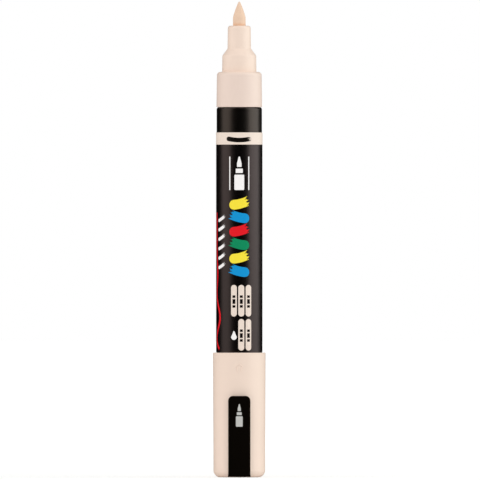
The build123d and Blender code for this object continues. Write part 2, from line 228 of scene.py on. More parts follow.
class PrintSizes(bpy.types.PropertyGroup):
    """Sizes and places of what is printed on the label and the clip."""

    ink: size("Ink", "Thickness of one layer of ink", 0.025)
    clip_ink: size("Clip ink", "Thickness of the ink on the clip", 0.008)
    span: size("Span", "Width of the slices that a wide shape is bent in", 0.3)
    band_height: size("Band height", "Height of the beige band at the label's front edge", 3.9)
    mark_width: size("Mark width", "Length of the dark stroke on the band", 8.6)
    mark_brush: size("Mark brush", "Width of the dark stroke on the band", 1.5)
    rule_low: size("Rule foot", "Height of the lower end of the two rules", 92.8)
    rule_high: size("Rule top", "Height of the upper end of the two rules", 103.6)
    rule_gap: size("Rule gap", "Distance between the two rules", 6.3)
    rule_width: size("Rule width", "Width of a rule", 0.36)
    sign_width: size("Sign width", "Width of the marker sign between the rules", 3.2)
    trail_low: size("Trail foot", "Height at which the coloured strokes start", 66.2)
    trail_step: size("Trail step", "Height from one coloured stroke to the next", 4.35)
    trail_width: size("Trail width", "Width of the column of coloured strokes", 6.6)
    trail_rise: size("Trail rise", "How far a coloured stroke climbs", 1.5)
    trail_brush: size("Trail brush", "Width of the brush of the coloured strokes", 3.2)
    dab_low: size("Dab foot", "Height at which the white dabs start", 67.6)
    dab_step: size("Dab step", "Height from one white dab to the next", 3.05)
    dab_rise: size("Dab rise", "How far a white dab climbs", 1.7)
    dab_brush: size("Dab brush", "Width of the brush of the white dabs", 1.05)
    dab_start: size("Dab start", "Place round the barrel where the white dabs start", -8.3)
    dab_end: size("Dab end", "Place round the barrel where the white dabs end", -4.8)
    dabs: count("Dabs", "Number of white dabs", 6)
    dry_end: level("Dry end", "How ragged a dry brush ends its stroke, in widths of the brush", 1.1)
    wet_end: level("Wet end", "How ragged a wet brush ends its stroke, in widths of the brush", 0.45)
    wave_low: size("Wave foot", "Height at which the red wave ends", 41.2)
    wave_high: size("Wave top", "Height at which the red wave starts", 85.6)
    wave_place: size("Wave place", "Place round the barrel where the red wave starts", -9.6)
    wave_drift: size("Wave drift", "How far the red wave drifts forwards on its way down", 2.0)
    wave_swing: size("Wave swing", "How far the red wave swings to each side at its end", 2.0)
    wave_turns: count("Wave turns", "Number of times the red wave swings to and fro", 3)
    wave_brush: size("Wave brush", "Width of the brush of the red wave", 0.9)
    patch_width: size("Patch width", "Width of a colour patch", 1.95)
    patch_height: size("Patch height", "Height of a colour patch", 10.2)
    patch_step: size("Patch step", "Distance between the middles of neighbouring patches", 2.4)
    patch_middle: size("Patch middle", "Place of the middle column of patches", 0.65)
    patch_low: size("Patch foot", "Height at which the lower row of patches starts", 40.95)
    patch_row: size("Patch row", "Height from the lower row of patches to the upper one", 11.0)
    dash_width: size("Dash width", "Width of a dash on a patch", 0.936)
    drop_low: size("Drop foot", "Height of the lower end of the white drop", 44.4)
    drop_width: size("Drop width", "Width of the white drop", 1.9)
    drop_height: size("Drop height", "Height of the white drop", 2.9)
    clip_sign_low: size("Clip sign foot", "Height of the lower end of the sign on the clip", 16.4)
    clip_sign_high: size("Clip sign top", "Height of the upper end of the sign on the clip", 23.7)
    clip_sign_width: size("Clip sign width", "Width of the sign on the clip", 2.2)


class MarkerColours(bpy.types.PropertyGroup):
    """Colours of the plastics, the nib and the inks."""

    beige: tint("Beige", "Moulded plastic of the cap, the plug and the nib holder", 246, 223, 208)
    # A darker, greyer tone of the beige, given over the collar's height
    held: tint("Collar tone", "The same plastic where fingers hold the collar", 239, 217, 205)
    black: tint("Black", "Barrel and label film", 3, 2, 2)
    clip: tint("Clip", "Moulded plastic of the clip", 8, 4, 2)
    natural: tint("Natural", "Undyed plastic inside the marker", 236, 234, 226)
    nib: tint("Nib", "Fibre of the nib", 241, 208, 183)
    nib_root: tint("Nib root", "Fibre where the nib leaves its holder", 228, 166, 120)
    rubber: tint("Rubber", "Seat of the valve", 62, 62, 64)
    steel: tint("Steel", "Spring and mixing ball", 200, 201, 204)
    ink_beige: tint("Beige ink", "Band and colour patches", 242, 225, 213)
    ink_black: tint("Black ink", "Marks on the band and the patches", 18, 12, 9)
    ink_white: tint("White ink", "Rules, sign and dabs", 253, 250, 250)
    ink_grey: tint("Grey ink", "Sign on the clip", 196, 195, 192)
    ink_red: tint("Red ink", "Red strokes", 234, 20, 34)
    ink_blue: tint("Blue ink", "Blue strokes", 8, 150, 217)
    ink_green: tint("Green ink", "Green strokes", 4, 142, 94)
    ink_yellow: tint("Yellow ink", "Yellow strokes", 255, 232, 64)


class StudioSettings(bpy.types.PropertyGroup):
    """Camera, lamps and surroundings."""

    camera_distance: size("Camera distance", "From the camera to the axis", 6000)
    camera_sight: size("Camera sight", "How far the camera sees", 40000)
    view_height: size("View height", "What the square picture covers at the axis", 155.2)
    view_middle: size("View middle", "Height of the middle of the picture", 76.66)
    view_side: size("View side", "How far the picture's middle is to the right of the axis", 0.23)
    left_angle: angle("Left angle", "From the camera's side round to the middle of the left panel", 70)
    right_angle: angle("Right angle", "From the camera's side round to the middle of the right panel", 80)
    panel_distance: size("Panel distance", "From the axis to each light panel", 800)
    left_width: size("Left width", "Width of the left panel", 800)
    right_width: size("Right width", "Width of the right panel", 1000)
    panel_height: size("Panel height", "Height of each light panel", 1200)
    left_light: level("Left light", "Brightness of the left panel", 0.85)
    right_light: level("Right light", "Brightness of the right panel", 1.42)
    room_light: level("Room light", "Light from all round", 0.64)
    room_lean: level("Room lean", "How much more of it comes from the camera's side", 0.3)
    room_tilt: level("Room tilt", "How much more of it comes from the left", 0.1)
    card_core: angle("Card core", "Half the angle over which the card behind the marker is white", 8)
    card_edge: angle("Card edge", "Half the angle over which that card fades out", 14)
    floor_size: size("Floor size", "Side of the floor", 16000)
    paper_dark: level("Paper dark", "Lightness of the floor where it is darkest", 0.86)
    paper_light: level("Paper light", "Lightness of the floor where it is lightest", 0.88)
    paper_grain: size("Paper grain", "Width of the clouds of these tones", 4)
    floor_glow: level("Floor glow", "White that the camera sees added to the lit floor", 0.26)
    far_glow: level("Far glow", "More of it where the floor is far from the lamps", 0.26)
    far_start: size("Far start", "Distance from the axis at which the far glow begins", 50)
    far_end: size("Far end", "Distance from the axis at which the far glow is full", 1100)
    # A glow of the floor near the axis: painted light that brightens the cap's foot
    foot_glow: level("Foot glow", "Light that the floor throws up at the cap's foot", 0.13)
    foot_start: size("Foot start", "Distance from the axis up to which the foot glow is full", 20)
    foot_end: size("Foot end", "Distance from the axis at which the foot glow ends", 60)


# Shader expressions


class Value:
    """A socket in a node tree. Arithmetic on it adds Math nodes to the tree."""

    def __init__(self, nodes, socket):
        self.nodes = nodes
        self.socket = socket

    def math(self, operation, first, second):
        return self.nodes.add("ShaderNodeMath", {"operation": operation}, {0: first, 1: second})

    def __add__(self, other):
        return self.math("ADD", self, other)

    def __radd__(self, other):
        return self.math("ADD", other, self)

    def __sub__(self, other):
        return self.math("SUBTRACT", self, other)

    def __rsub__(self, other):
        return self.math("SUBTRACT", other, self)

    def __mul__(self, other):
        return self.math("MULTIPLY", self, other)

    def __rmul__(self, other):
        return self.math("MULTIPLY", other, self)


class Nodes:
    """A node tree, and the one method that adds a node to it."""

    def __init__(self, tree):
        self.tree = tree
        tree.nodes.clear()

    def add(self, kind, settings=None, inputs=None, output=0):
        """Adds a node: its settings first, then the values or links of its sockets."""
        node = self.tree.nodes.new(kind)
        for name, setting in (settings or {}).items():
            setattr(node, name, setting)
        for key, value in (inputs or {}).items():
            if isinstance(value, Value):
                self.tree.links.new(value.socket, node.inputs[key])
            else:
                node.inputs[key].default_value = value
        outputs = node.outputs
        return Value(self, outputs[output]) if outputs else None

    def place(self):
        """Where on the marker a point is, in metres."""
        return self.add("ShaderNodeTexCoord", output="Object")

    def ray(self, kind):
        """1 for light rays of one kind, and 0 for others."""
        return self.add("ShaderNodeLightPath", output=f"Is {kind} Ray")

    def stretched(self, place, x, y, z):
        return self.add("ShaderNodeMapping", inputs={"Vector": place, "Scale": (x, y, z)})

    def axis(self, place, name):
        return self.add("ShaderNodeSeparateXYZ", inputs={"Vector": place}, output=name)

    def noise(self, place, grain, detail=2.0):
        """Cloudy noise from 0 to 1 whose clouds are about as wide as the grain."""
        inputs = {"Vector": place, "Scale": 1 / grain, "Detail": detail}
        return self.add("ShaderNodeTexNoise", inputs=inputs)

    def between(self, value, low, high):
        """0 below low, 1 above high, and a smooth step from one to the other."""
        return self.add(
            "ShaderNodeMapRange",
            {"interpolation_type": "SMOOTHSTEP"},
            {"Value": value, "From Min": low, "From Max": high},
        )

    def blend(self, share, first, second):
        """A colour between two colours."""
        return self.add("ShaderNodeMix", {"data_type": "RGBA"}, {0: share, 6: first, 7: second}, 2)

    def tones(self, share, colour, dark, light):
        """A screen colour made darker to lighter by its share."""
        return self.blend(share, shade(colour, dark), shade(colour, light))

    def bump(self, height, depth):
        """A surface whose relief is as deep as given."""
        return self.add("ShaderNodeBump", inputs={"Height": height, "Strength": 1.0, "Distance": depth})

    def surface(self, inputs):
        """The material's one glossy shader."""
        shader = self.add("ShaderNodeBsdfPrincipled", inputs=inputs)
        self.add("ShaderNodeOutputMaterial", inputs={"Surface": shader})


def shade(colour, brightness=1.0):
    """A screen colour as light, made brighter or darker."""
    light = Color(colour).from_srgb_to_scene_linear()
    return (light.r * brightness, light.g * brightness, light.b * brightness, 1.0)


def grey(lightness):
    """A grey as light."""
    return (lightness, lightness, lightness, 1.0)


def blank_material(name):
    """A new material and its empty node tree."""
    material = bpy.data.materials.new(name)
    material.use_nodes = True
    return material, Nodes(material.node_tree)


def finish(make):
    """Makes a material once, by the function that describes it, and then hands out the same one."""

    def made(*settings):
        name = "_".join([make.__name__, *settings])
        if name not in bpy.data.materials:
            nodes = blank_material(name)[1]
            make(nodes, bpy.context.scene.marker_colours, *settings)
        return bpy.data.materials[name]

    return made


# Finishes


@finish
def beige_moulding(nodes, colours):
    """Satin plastic with faint clouds of pigment and a fine grain, darker and greyer over the collar."""
    place = nodes.place()
    height = nodes.axis(place, "Z")
    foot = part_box("barrel")[1].z
    top = foot + bpy.context.scene.marker_holder.collar_height
    # The collar's height, which takes the darker, greyer tone of the beige
    held = nodes.between(height, foot - MM, foot) - nodes.between(height, top - MM, top)
    clouds = nodes.noise(place, 9 * MM, 3.0)
    flow = nodes.noise(nodes.stretched(place, 1.0, 1.0, 0.05), 0.7 * MM)
    grain = nodes.noise(place, 0.16 * MM, 4.0)
    pigment = nodes.tones(clouds, colours.beige, 0.96, 1.02)
    nodes.surface({
        "Base Color": nodes.blend(held, pigment, shade(colours.held)),
        "Roughness": 0.3 + 0.1 * flow + 0.08 * grain,
        "Normal": nodes.bump(grain + 0.4 * flow, 0.004 * MM),
        "IOR": 1.47,
    })


@finish
def natural_plastic(nodes, colours):
    """Undyed moulded plastic, waxy and a little cloudy."""
    place = nodes.place()
    clouds = nodes.noise(place, 4 * MM, 3.0)
    grain = nodes.noise(place, 0.2 * MM, 3.0)
    nodes.surface({
        "Base Color": nodes.tones(clouds, colours.natural, 0.9, 1.0),
        "Roughness": 0.42 + 0.12 * grain,
        "Normal": nodes.bump(grain, 0.004 * MM),
        "IOR": 1.5,
    })


@finish
def black_gloss(nodes, colours):
    """Glossy black tube, with a soft ripple and hairline scuffs along its length."""
    place = nodes.place()
    ripple = nodes.noise(nodes.stretched(place, 1.0, 1.0, 0.3), 3 * MM)
    scuffs = nodes.noise(nodes.stretched(place, 1.0, 1.0, 0.03), 0.25 * MM, 4.0)
    nodes.surface({
        "Base Color": nodes.tones(ripple, colours.black, 0.8, 1.1),
        "Roughness": 0.33 + 0.08 * scuffs,
        "Normal": nodes.bump(ripple, 0.003 * MM),
        "IOR": 1.9,
        "Specular Tint": TUBE_GLOSS,
    })


@finish
def black_film(nodes, colours):
    """Glossy black label film, with the faint orange peel of a varnished print."""
    place = nodes.place()
    peel = nodes.noise(place, 0.5 * MM, 2.0)
    clouds = nodes.noise(place, 6 * MM, 3.0)
    nodes.surface({
        "Base Color": nodes.tones(clouds, colours.black, 0.85, 1.15),
        "Roughness": 0.34 + 0.06 * peel,
        "Normal": nodes.bump(peel, 0.002 * MM),
        "IOR": 1.9,
        "Specular Tint": FILM_GLOSS,
    })


@finish
def clip_moulding(nodes, colours):
    """Smooth black plastic with a fine spark-eroded grain."""
    place = nodes.place()
    grain = nodes.noise(place, 0.14 * MM, 4.0)
    clouds = nodes.noise(place, 5 * MM, 2.0)
    nodes.surface({
        "Base Color": nodes.tones(clouds, colours.clip, 0.7, 1.0),
        "Roughness": 0.36 + 0.14 * grain,
        "Normal": nodes.bump(grain, 0.005 * MM),
        "IOR": 1.5,
        "Specular Tint": CLIP_GLOSS,
    })


@finish
def bonded_fibre(nodes, colours):
    """Bonded fibres along the nib, darker and more soaked where it leaves the holder."""
    place = nodes.place()
    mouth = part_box("nib_holder")[1].z
    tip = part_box("brush_nib")[1].z
    height = nodes.axis(place, "Z")
    fibres = nodes.noise(nodes.stretched(place, 1.0, 1.0, 0.04), 0.14 * MM, 3.0)
    patches = nodes.noise(nodes.stretched(place, 1.0, 1.0, 0.4), 1.6 * MM, 2.0)
    soaked = 1 - nodes.between(height + 0.8 * MM * patches, mouth + 0.3 * MM, mouth + 1.7 * MM)
    dry = nodes.between(height, tip - 1.6 * MM, tip)
    body = nodes.tones(fibres, colours.nib, 0.86, 1.06)
    wet = nodes.blend(0.5 * soaked, body, shade(colours.nib_root))
    nodes.surface({
        "Base Color": nodes.blend(0.35 * dry, wet, shade(colours.beige, 0.9)),
        "Roughness": 0.7 + 0.2 * fibres,
        "Normal": nodes.bump(fibres, 0.03 * MM),
        "IOR": 1.4,
    })


@finish
def ink(nodes, colours, name):
    """Printing ink in one of the label's colours, laid on a little unevenly."""
    colour = getattr(colours, "ink_" + name)
    place = nodes.place()
    cover = nodes.noise(place, 0.9 * MM, 3.0)
    nodes.surface({
        "Base Color": nodes.tones(cover, colour, 0.94, 1.03),
        "Roughness": 0.34,
        "IOR": 1.25,
    })


@finish
def valve_rubber(nodes, colours):
    """Dark soft rubber, dull and dusted."""
    place = nodes.place()
    dust = nodes.noise(place, 0.3 * MM, 4.0)
    nodes.surface({
        "Base Color": nodes.tones(dust, colours.rubber, 0.8, 1.3),
        "Roughness": 0.62 + 0.2 * dust,
        "Normal": nodes.bump(dust, 0.006 * MM),
    })


@finish
def drawn_steel(nodes, colours):
    """Steel wire with fine drawing marks."""
    place = nodes.place()
    marks = nodes.noise(place, 0.08 * MM, 3.0)
    nodes.surface({
        "Base Color": nodes.tones(marks, colours.steel, 0.75, 1.0),
        "Metallic": 1.0,
        "Roughness": 0.26 + 0.16 * marks,
    })


@finish
def polished_steel(nodes, colours):
    """Polished ball steel with a few worn patches."""
    place = nodes.place()
    wear = nodes.noise(place, 1.1 * MM, 4.0)
    nodes.surface({
        "Base Color": nodes.tones(wear, colours.steel, 0.9, 1.05),
        "Metallic": 1.0,
        "Roughness": 0.08 + 0.14 * wear,
    })


# Shaping


def widest(node):
    """The radius of a turned piece of the frame."""
    low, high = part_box(node)
    return max(high.x, high.y, -low.x, -low.y)


def round_corner(bm, corner, rounding):
    """Rounds one corner of an outline with an arc of the given radius."""
    first, second = [edge.other_vert(corner).co - corner.co for edge in corner.link_edges]
    reach = rounding / tan(first.angle(second) / 2)
    bmesh.ops.bevel(
        bm,
        geom=[corner],
        offset=reach,
        offset_type="ABSOLUTE",
        segments=CORNER_STEPS,
        profile=0.5,
        affect="VERTICES",
        material=-1,
    )


def hold_straights(bm):
    """Adds a point near both ends of each straight stretch, so that smooth shading leaves it flat."""
    for edge in bm.edges[:]:
        for end in edge.verts[:]:
            stretch = edge.calc_length()
            if stretch > 4 * HOLD:
                bmesh.utils.edge_split(edge, end, HOLD / stretch)


def outline(bm, corners):
    """Draws an outline through corners, each (radius, height) or (radius, height, rounding)."""
    points = [bm.verts.new((corner[0], 0, corner[1])) for corner in corners]
    ring = points if corners[0][0] == 0 else points + points[:1]
    for start, end in zip(ring, ring[1:]):
        bm.edges.new((start, end))
    for point, corner in zip(points, corners):
        if len(corner) == 3:
            round_corner(bm, point, corner[2])


def draw_arc(bm, start, centre, end):
    """Draws an arc from a point of an outline to a place and returns the point there."""
    sweep = (start.co - centre).angle(end - centre)
    arc = bmesh.ops.spin(bm, geom=[start], cent=centre, axis=(0, -1, 0), angle=sweep, steps=ARC_STEPS)
    return next(item for item in arc["geom_last"] if isinstance(item, bmesh.types.BMVert))


def turn(bm):
    """Spins an outline all the way round the axis."""
    hold_straights(bm)
    bmesh.ops.spin(
        bm,
        geom=bm.verts[:] + bm.edges[:],
        cent=(0, 0, 0),
        axis=(0, 0, 1),
        angle=tau,
        steps=TURN_STEPS,
        use_merge=True,
    )
    close_up(bm)


def turned(corners):
    """A shape turned from an outline."""
    bm = bmesh.new()
    outline(bm, corners)
    turn(bm)
    return bm


def close_up(bm):
    """Closes seams and poles and turns the faces outwards."""
    bmesh.ops.remove_doubles(bm, verts=bm.verts, dist=WELD)
    bmesh.ops.recalc_face_normals(bm, faces=bm.faces)


def add_fins(bm, fins, inner, outer, width, low, high):
    """Adds flat fins that stand round the axis."""
    block = Matrix.Translation(((inner + outer) / 2, 0, (low + high) / 2))
    block @= Matrix.Diagonal((outer - inner, width, high - low, 1))
    for fin in range(fins):
        bmesh.ops.create_cube(bm, size=1.0, matrix=Matrix.Rotation(tau * fin / fins, 4, "Z") @ block)


def push_window(bm, facing, width, low, high, reach):
    """Pushes a rectangle of the front wall, outer (facing -1) or inner (facing 1), to a flat face."""
    front = [face for face in bm.faces if face.calc_center_median().y < 0]
    wall = [face for face in front if facing * face.normal.y > FACING]
    sides = [((-width / 2, 0, 0), (1, 0, 0)), ((width / 2, 0, 0), (1, 0, 0))]
    ends = [((0, 0, low), (0, 0, 1)), ((0, 0, high), (0, 0, 1))]
    for place, across in sides + ends:
        touched = {part for face in wall for part in (face, *face.edges, *face.verts)}
        cut = bmesh.ops.bisect_plane(bm, geom=list(touched), dist=WELD, plane_co=place, plane_no=across)
        wall = [part for part in cut["geom"] if isinstance(part, bmesh.types.BMFace)]
    window = []
    for face in wall:
        middle = face.calc_center_median()
        if abs(middle.x) < width / 2 and low < middle.z < high:
            window.append(face)
    pushed = bmesh.ops.extrude_face_region(bm, geom=window)["geom"]
    for part in pushed:
        if isinstance(part, bmesh.types.BMVert):
            part.co.y = -reach
    bmesh.ops.delete(bm, geom=[face for face in window if face.is_valid], context="FACES")


def link_shape(name, bm, material):
    """Makes a shape an object of the scene."""
    mesh = bpy.data.meshes.new(name)
    bm.to_mesh(mesh)
    bm.free()
    mesh.materials.append(material)
    thing = bpy.data.objects.new(name, mesh)
    bpy.context.scene.collection.objects.link(thing)
    return thing


def place_piece(name, bm, material, slot, body, *nodes):
    """Makes a shape a piece of the marker, which rides on a body and may stand for nodes of the frame."""
    close_up(bm)
    if any(not edge.is_manifold for edge in bm.edges):
        raise RuntimeError(f"{name} has an open edge")
    piece = link_shape(name, bm, material)
    piece.data.shade_smooth()
    piece.data.set_sharp_from_angle(angle=SHARP_ANGLE)
    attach(piece, body)
    if nodes:
        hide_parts(*nodes)
    return piece


def dress(node, material):
    """Gives a node of the frame a better finish."""
    frame["nodes"][node].data.materials[0] = material


# Flat designs, whose sideways places are lengths round the marker


def plate(bm, corners, rounding=0.0):
    """A flat shape with its corners rounded."""
    points = [bm.verts.new((side, 0, height)) for side, height in corners]
    face = bm.faces.new(points)
    face.normal_update()
    if rounding:
        bmesh.ops.bevel(
            bm,
            geom=points,
            offset=rounding,
            segments=PLATE_STEPS,
            profile=0.5,
            affect="VERTICES",
            material=-1,
        )
    return face


def bar(bm, left, right, low, high, rounding=0.0):
    """A flat rectangle."""
    return plate(bm, [(left, low), (right, low), (right, high), (left, high)], rounding)


def disc(bm, middle, height, width, steps=DISC_STEPS):
    """A flat disc, and the points round it."""
    place = Matrix.Translation((middle, 0, height)) @ UPRIGHT
    made = bmesh.ops.create_circle(bm, cap_ends=True, radius=width / 2, segments=steps, matrix=place)
    return made["verts"]


def pill(bm, middle, low, high, width):
    """A flat upright shape with round ends."""
    centre = low + width / 2
    ring = disc(bm, middle, centre, width)
    upper = [vert for vert in ring if vert.co.z > centre + WELD]
    bmesh.ops.translate(bm, verts=upper, vec=(0, 0, high - low - width))


def drop(bm, middle, low, high, width):
    """A flat drop with its point up."""
    centre = low + width / 2
    for vert in disc(bm, middle, centre, width):
        lift = max(0.0, (vert.co.z - centre) / (width / 2))
        vert.co.x = middle + (vert.co.x - middle) * (1 - DROP_PINCH * lift)
        vert.co.z += lift * lift * (high - low - width)


def marker_sign(bm, low, high, width):
    """A plain sign of a marker: its barrel, its collar and its pointed nib."""
    heights = [low + share * (high - low) for share in SIGN_HEIGHTS]
    barrel_top, collar_foot, collar_top, nib_foot, nib_shoulder = heights
    barrel, collar, nib, point = [share * width / 2 for share in SIGN_WIDTHS]
    barrel_edge, collar_edge, nib_edge = [share * width for share in SIGN_ROUNDINGS]
    bar(bm, -barrel, barrel, low, barrel_top, barrel_edge)
    bar(bm, -collar, collar, collar_foot, collar_top, collar_edge)
    right = [(nib, nib_foot), (nib, nib_shoulder), (point, high)]
    left = [(-side, height) for side, height in reversed(right)]
    plate(bm, right + left, nib_edge)


def brush_stroke(bm, spine, brush, ragged):
    """Lays a flat stroke along a line, round at its start and ragged, in brush widths, at its end."""
    length = (Vector(spine(1.0)) - Vector(spine(0.0))).length
    steps = int(2 * length / bpy.context.scene.marker_print.span) + 1
    tuft = bmesh.ops.create_grid(bm, x_segments=steps, y_segments=BRUSH_HAIRS, size=1.0)["verts"]
    for vert in tuft:
        across = vert.co.y
        # Two waves that don't match make the hairs end unevenly
        hairs = 0.5 + 0.28 * sin(9 * across + 70 * length / MM) + 0.22 * sin(23 * across + 1.0)
        start = brush / (2 * length) * (1 - sqrt(max(0.0, 1 - across * across)))
        end = 1 - ragged * brush / length * hairs
        along = start + (end - start) * (vert.co.x + 1) / 2
        middle = Vector(spine(along))
        heading = (Vector(spine(along + LOOK_AHEAD)) - middle).normalized()
        press = 1 - BRUSH_FADE * along
        place = middle + press * brush / 2 * across * Vector((-heading.y, heading.x))
        vert.co = (place.x, 0, place.y)


def slanted(left, low, right, high):
    """A straight spine that bows a little, as a hand draws it."""

    def spine(along):
        bow = STROKE_BOW * abs((right - left) * sin(pi * along))
        return (left + (right - left) * along, low + (high - low) * along - bow)

    return spine


def thicken(bm, sunk, proud):
    """Gives a flat design its thickness, from below the surface that carries it to above it."""
    bmesh.ops.translate(bm, verts=bm.verts, vec=(0, sunk, 0))
    raised = bmesh.ops.extrude_face_region(bm, geom=bm.faces[:])["geom"]
    verts = [part for part in raised if isinstance(part, bmesh.types.BMVert)]
    bmesh.ops.translate(bm, verts=verts, vec=(0, -sunk - proud, 0))


def face_width(face):
    """How wide a face of a flat design is."""
    sides = [vert.co.x for vert in face.verts]
    return max(sides) - min(sides)


def slice_wide(bm):
    """Cuts the wide faces of a flat design into upright slices, so that they can be bent."""
    span = bpy.context.scene.marker_print.span
    steps = int(max(abs(vert.co.x) for vert in bm.verts) / span)
    wide = [face for face in bm.faces if face_width(face) > 4 * span]
    parts = list({part for face in wide for part in (face, *face.edges, *face.verts)})
    for step in range(-steps, steps + 1):
        cut = bmesh.ops.bisect_plane(
            bm, geom=parts, dist=WELD, plane_co=(step * span, 0, 0), plane_no=(1, 0, 0)
        )
        parts = cut["geom"]
    bmesh.ops.remove_doubles(bm, verts=bm.verts, dist=4 * WELD)


def bend(bm, radius):
    """Bends a design, flat or thick, round the axis."""
    for vert in bm.verts:
        reach = radius - vert.co.y
        swing = vert.co.x / radius
        vert.co = (reach * sin(swing), -reach * cos(swing), vert.co.z)


def wrap(bm, radius, sunk, proud):
    """Gives a flat design its thickness and bends it round the axis."""
    slice_wide(bm)
    thicken(bm, sunk, proud)
    bend(bm, radius)


def label_reach():
    """From the middle of the label's front round to its seam."""
    return pi * widest("barrel_label") - bpy.context.scene.marker_barrel.label_seam / 2


# Operators


class Cap(bpy.types.Operator):
    """Make the cap's shell, with the block that holds the clip, and the arrow near its mouth"""

    bl_idname = "marker.make_cap"
    bl_label = "Cap"

    def execute(self, context):
        cap = context.scene.marker_cap
        low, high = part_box("cap_shell")
        mouth = widest("cap_shell")
        bore = mouth - cap.wall
        floor = low.z + cap.end_wall
        bm = turned([
            (0, low.z),
            (mouth - cap.draft, low.z, cap.end_rounding),
            (mouth, high.z, cap.lip_rounding),
            (bore, high.z, cap.lip_rounding),
            (bore, floor, cap.floor_rounding),
            (0, floor),
        ])
        push_window(bm, 1, cap.boss_width, low.z, cap.boss_top, cap.boss_reach)
        push_window(bm, -1, cap.slot_width, cap.slot_low, cap.slot_high, cap.slot_reach)
        place_piece("cap_body", bm, beige_moulding(), "beige_plastic", "cap", "cap_shell")
        self.raise_arrow(cap, high.z, mouth)
        return {"FINISHED"}

    def raise_arrow(self, cap, mouth_height, mouth):
        """A chevron over two legs, with sloped sides."""
        top = mouth_height - cap.arrow_setback
        foot = top - cap.arrow_height
        barb = top - cap.arrow_head
        line = cap.arrow_line
        wide, narrow = cap.arrow_width / 2, cap.arrow_shaft / 2
        slant = (top - barb) / wide
        thick = line * sqrt(1 + slant * slant)
        under = barb - cap.arrow_slope / 2
        bm = bmesh.new()
        for side in (-1, 1):
            tip, heel = side * wide, side * (wide - thick / slant)
            plate(bm, [(tip, barb), (0, top), (0, top - thick), (heel, barb)])
            left, right = sorted((side * narrow, side * (narrow - line)))
            bar(bm, left, right, foot, under)
        close_up(bm)
        thicken(bm, cap.arrow_relief, 0)
        close_up(bm)
        crest = [face for face in bm.faces if face.normal.y < -FACING]
        bmesh.ops.inset_region(
            bm,
            faces=crest,
            thickness=cap.arrow_slope,
            depth=cap.arrow_relief,
            use_boundary=True,
            use_even_offset=True,
        )
        setback = mouth_height - (top + foot) / 2
        bend(bm, mouth - cap.draft * setback / mouth_height)
        place_piece("cap_arrow", bm, beige_moulding(), "beige_plastic", "cap")


class SealingCup(bpy.types.Operator):
    """Make the ribbed cup inside the cap that seals the nib"""

    bl_idname = "marker.make_sealing_cup"
    bl_label = "Sealing cup"

    def execute(self, context):
        cap = context.scene.marker_cap
        low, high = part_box("inner_cap")
        rim = widest("inner_cap")
        bore = cap.cup_radius - cap.cup_wall
        floor = low.z + cap.cup_wall
        flange = high.z - cap.cup_flange
        bm = turned([
            (0, low.z),
            (cap.cup_radius, low.z, cap.cup_rounding),
            (cap.cup_radius, flange),
            (rim, flange),
            (rim, high.z),
            (bore, high.z, cap.cup_lip),
            (bore, floor, cap.cup_rounding),
            (0, floor),
        ])
        inside = cap.cup_radius - cap.cup_wall / 2
        add_fins(bm, cap.cup_ribs, inside, rim, cap.cup_rib, floor, flange + cap.cup_flange / 2)
        place_piece("sealing_cup", bm, natural_plastic(), "inner_cap_plastic", "cap", "inner_cap")
        return {"FINISHED"}


class Clip(bpy.types.Operator):
    """Finish the clip and print the sign on it"""

    bl_idname = "marker.finish_clip"
    bl_label = "Clip"

    def execute(self, context):
        prints = context.scene.marker_print
        dress("cap_clip", clip_moulding())
        bm = bmesh.new()
        marker_sign(bm, prints.clip_sign_low, prints.clip_sign_high, prints.clip_sign_width)
        thicken(bm, prints.clip_ink, prints.clip_ink)
        bmesh.ops.translate(bm, verts=bm.verts, vec=(0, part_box("cap_clip")[0].y, 0))
        place_piece("clip_sign", bm, ink("grey"), "clip_plastic", "clip")
        return {"FINISHED"}


class Barrel(bpy.types.Operator):
    """Make the barrel's tube"""

    bl_idname = "marker.make_barrel"
    bl_label = "Barrel"

    def execute(self, context):
        barrel = context.scene.marker_barrel
        low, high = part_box("barrel")
        outside = widest("barrel")
        bm = turned([
            (barrel.bore, low.z),
            (outside, low.z),
            (outside, high.z, barrel.front_rounding),
            (barrel.bore, high.z),
        ])
        place_piece("barrel_tube", bm, black_gloss(), "barrel_plastic", "barrel", "barrel")
        return {"FINISHED"}


class TailPlug(bpy.types.Operator):
    """Make the plug that closes the barrel's tail"""

    bl_idname = "marker.make_tail_plug"
    bl_label = "Tail plug"

    def execute(self, context):
        barrel = context.scene.marker_barrel
        low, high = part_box("tail_plug")
        rim = widest("tail_plug")
        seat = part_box("barrel")[0].z
        plug = barrel.bore - barrel.fit
        hollow = barrel.stub_radius - barrel.stub_wall
        floor = low.z + barrel.stub_end
        bm = turned([
            (0, low.z),
            (barrel.stub_radius, low.z, barrel.stub_rounding),
            (barrel.stub_radius, seat - barrel.flange),
            (rim, seat - barrel.flange, barrel.flange_rounding),
            (rim, seat),
            (plug, seat),
            (plug, high.z, barrel.plug_rounding),
            (hollow, high.z, barrel.plug_rounding),
            (hollow, floor, barrel.stub_rounding),
            (0, floor),
        ])
        place_piece("tail_stopper", bm, beige_moulding(), "beige_plastic", "barrel", "tail_plug")
        return {"FINISHED"}


class Label(bpy.types.Operator):
    """Make the label film, wrapped round the barrel to a seam at the back"""

    bl_idname = "marker.wrap_label"
    bl_label = "Label"

    def execute(self, context):
        low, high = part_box("barrel_label")
        radius = widest("barrel_label")
        bm = bmesh.new()
        bar(bm, -label_reach(), label_reach(), low.z, high.z)
        wrap(bm, radius, radius - widest("barrel"), 0)
        place_piece("label_film", bm, black_film(), "label_film", "barrel", "barrel_label")
        return {"FINISHED"}


